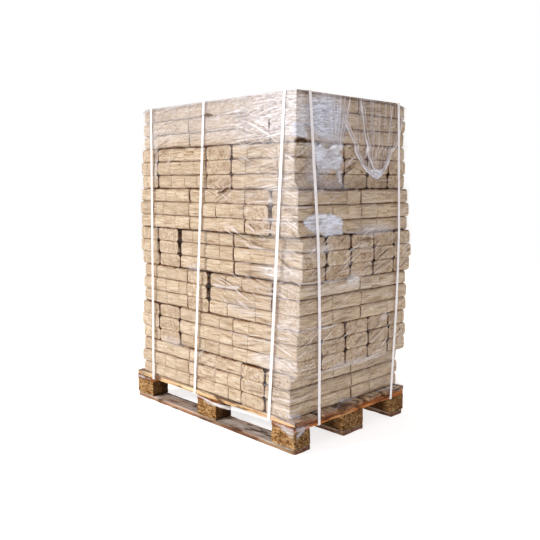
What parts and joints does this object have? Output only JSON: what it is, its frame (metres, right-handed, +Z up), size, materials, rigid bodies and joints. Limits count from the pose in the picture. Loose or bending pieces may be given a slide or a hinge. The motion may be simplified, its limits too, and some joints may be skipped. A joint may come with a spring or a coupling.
{
  "type": "pallet load of wrapped briquette packs",
  "caption": "Wooden four-way pallet stacked with wrapped packs of pressed wood briquettes, wound in stretch film and tied down with plastic straps.",
  "frame": {"origin": "middle of the pallet's underside, on the middle bottom board", "axes": "+X along the pallet's long side, +Y along its short side, +Z up"},
  "size_m": [1.2272, 0.8172, 1.5412],
  "materials": {
    "deck_wood": "rough-sawn softwood, weathered",
    "block_wood": "pressed chips, rough",
    "briquette_wood": "pressed sawdust, matt, under thin clear film",
    "stretch_film": "clear thin film, wrinkled, glossy",
    "strap_plastic": "white strapping, satin"
  },
  "bodies": {
    "root": {"bottom_board_1": "deck_wood", "bottom_board_2": "deck_wood", "bottom_board_3": "deck_wood", "block_1_1": "block_wood", "block_1_2": "block_wood", "block_1_3": "block_wood", "block_2_1": "block_wood", "block_2_2": "block_wood", "block_2_3": "block_wood", "block_3_1": "block_wood", "block_3_2": "block_wood", "block_3_3": "block_wood", "stringer_board_1": "deck_wood", "stringer_board_2": "deck_wood", "stringer_board_3": "deck_wood", "deck_board_1": "deck_wood", "deck_board_2": "deck_wood", "deck_board_3": "deck_wood", "deck_board_4": "deck_wood", "deck_board_5": "deck_wood", "pack_layer_1": "briquette_wood", "pack_layer_2": "briquette_wood", "pack_layer_3": "briquette_wood", "pack_layer_4": "briquette_wood", "pack_layer_5": "briquette_wood", "pack_layer_6": "briquette_wood", "pack_layer_7": "briquette_wood", "stretch_film": "stretch_film", "cross_strap_1": "strap_plastic", "cross_strap_2": "strap_plastic", "cross_strap_3": "strap_plastic", "long_strap_1": "strap_plastic", "long_strap_2": "strap_plastic"}
  },
  "joints": []
}
